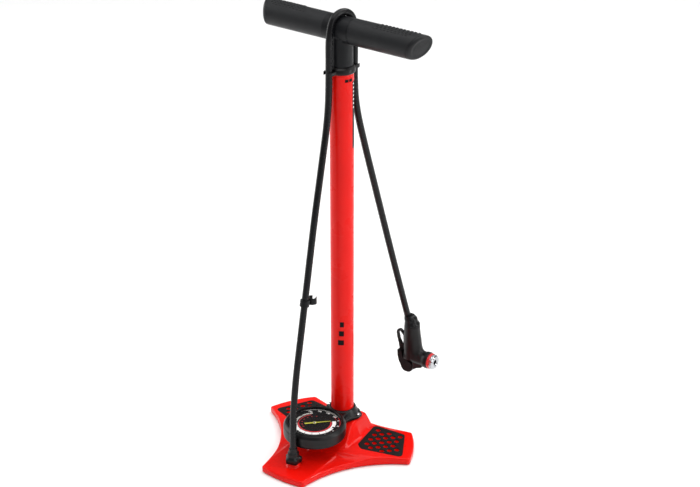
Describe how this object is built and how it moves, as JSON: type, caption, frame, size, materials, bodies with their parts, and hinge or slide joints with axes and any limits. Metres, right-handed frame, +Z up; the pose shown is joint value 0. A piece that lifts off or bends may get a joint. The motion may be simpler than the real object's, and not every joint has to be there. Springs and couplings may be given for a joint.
{
  "type": "floor bike pump",
  "caption": "Upright floor pump: three-armed foot base with a pressure gauge, slim barrel, T-handle plunger, long hose and lever pump head.",
  "frame": {"origin": "on the floor, under the middle of the base's footprint", "axes": "+Z up along the barrel, +X along the handle towards the side the nozzle points to, -Y towards the gauge"},
  "size_m": [0.2956, 0.3249, 0.7209],
  "materials": {
    "red_paint": "gloss",
    "pad_rubber": "textured",
    "foot_rubber": "matte",
    "seal_rubber": "matte",
    "turned_aluminium": "turned",
    "zinc_steel": "satin",
    "screw_steel": "satin",
    "polished_steel": "polished",
    "moulded_black": "satin",
    "lever_black": "satin",
    "bezel_black": "satin",
    "clear_window": "clear",
    "dial_black": "matte",
    "inner_plastic": "natural",
    "brass": "satin",
    "needle_yellow": "matte",
    "hub_silver": "satin",
    "hose_rubber": "matte",
    "clip_black": "satin",
    "neck_black": "satin",
    "grip_rubber": "textured",
    "band_red": "gloss",
    "chrome": "polished"
  },
  "bodies": {
    "base": {"base_casting": "red_paint", "foot_pad_left": "pad_rubber", "foot_pad_right": "pad_rubber", "rubber_feet": "foot_rubber", "barrel_tube": "red_paint", "barrel_foot_plug": "turned_aluminium", "barrel_foot_seal": "seal_rubber", "barrel_bolt": "zinc_steel", "valve_retainer": "inner_plastic", "valve_spring": "zinc_steel", "gauge_housing": "moulded_black", "bracket_screws": "screw_steel", "gauge_bezel": "bezel_black", "gauge_window": "clear_window", "gauge_dial": "dial_black", "dial_carrier": "inner_plastic", "dial_screws": "dial_black", "movement_plates": "brass", "gauge_socket": "brass", "bourdon_tube": "brass", "hose_fitting": "brass", "hose_nut": "moulded_black", "hose_sleeve": "hose_rubber", "top_cap": "moulded_black", "guide_bushing": "inner_plastic", "hose_front": "hose_rubber", "hose_clip": "clip_black"},
    "valve": {"valve_poppet": "inner_plastic"},
    "sector": {"sector_gear": "brass"},
    "needle": {"needle": "needle_yellow", "needle_hub": "hub_silver", "pinion_arbor": "brass"},
    "plunger": {"piston_rod": "polished_steel", "piston": "inner_plastic", "piston_seal": "seal_rubber", "piston_screw": "zinc_steel", "piston_washer": "zinc_steel", "rod_foot_insert": "turned_aluminium", "rod_bumper": "seal_rubber", "handle_neck": "neck_black", "handle_core": "turned_aluminium", "handle_bolt": "zinc_steel", "rod_top_insert": "turned_aluminium", "grip_left": "grip_rubber", "grip_right": "grip_rubber", "end_cap_left": "grip_rubber", "end_cap_right": "grip_rubber", "hose_back": "hose_rubber", "head_body": "moulded_black", "head_stem": "brass", "hose_boot": "hose_rubber", "red_band": "band_red", "nozzle_cap": "chrome", "valve_gasket": "seal_rubber", "lever_pin": "zinc_steel"},
    "lever": {"head_lever": "lever_black"},
    "thimble": {"thimble": "inner_plastic"}
  },
  "joints": [
    {"name": "plunger_slide", "type": "slide", "parent": "base", "child": "plunger", "axis": [0, 0, 1], "range_m": [0, 0.5]},
    {"name": "valve_lift", "type": "slide", "parent": "base", "child": "valve", "axis": [0, 0, 1], "range_m": [0, 0.002], "stiffness_N_per_m": 60, "springref_m": -0.002, "deforming": ["valve_spring"]},
    {"name": "sector_turn", "type": "hinge", "parent": "base", "child": "sector", "pos_m": [-0.018, -0.0209, 0.05], "axis": [0, 0, 1], "range_deg": [0, 54], "stiffness_Nm_per_rad": 0.004},
    {"name": "needle_turn", "type": "hinge", "parent": "base", "child": "needle", "pos_m": [0, -0.0209, 0.061], "axis": [0, 0, 1], "range_deg": [-270, 0]},
    {"name": "lever_flip", "type": "hinge", "parent": "plunger", "child": "lever", "pos_m": [0.029, 0.2004, 0.073], "axis": [0, -1, 0], "range_deg": [0, 90]},
    {"name": "thimble_slide", "type": "slide", "parent": "plunger", "child": "thimble", "axis": [1, 0, 0], "range_m": [0, 0.0025]}
  ],
  "couplings": [
    {"joint": "needle_turn", "follows": "sector_turn", "ratio": -5},
    {"joint": "thimble_slide", "follows": "lever_flip", "m_per_rad": 0.00159}
  ]
}
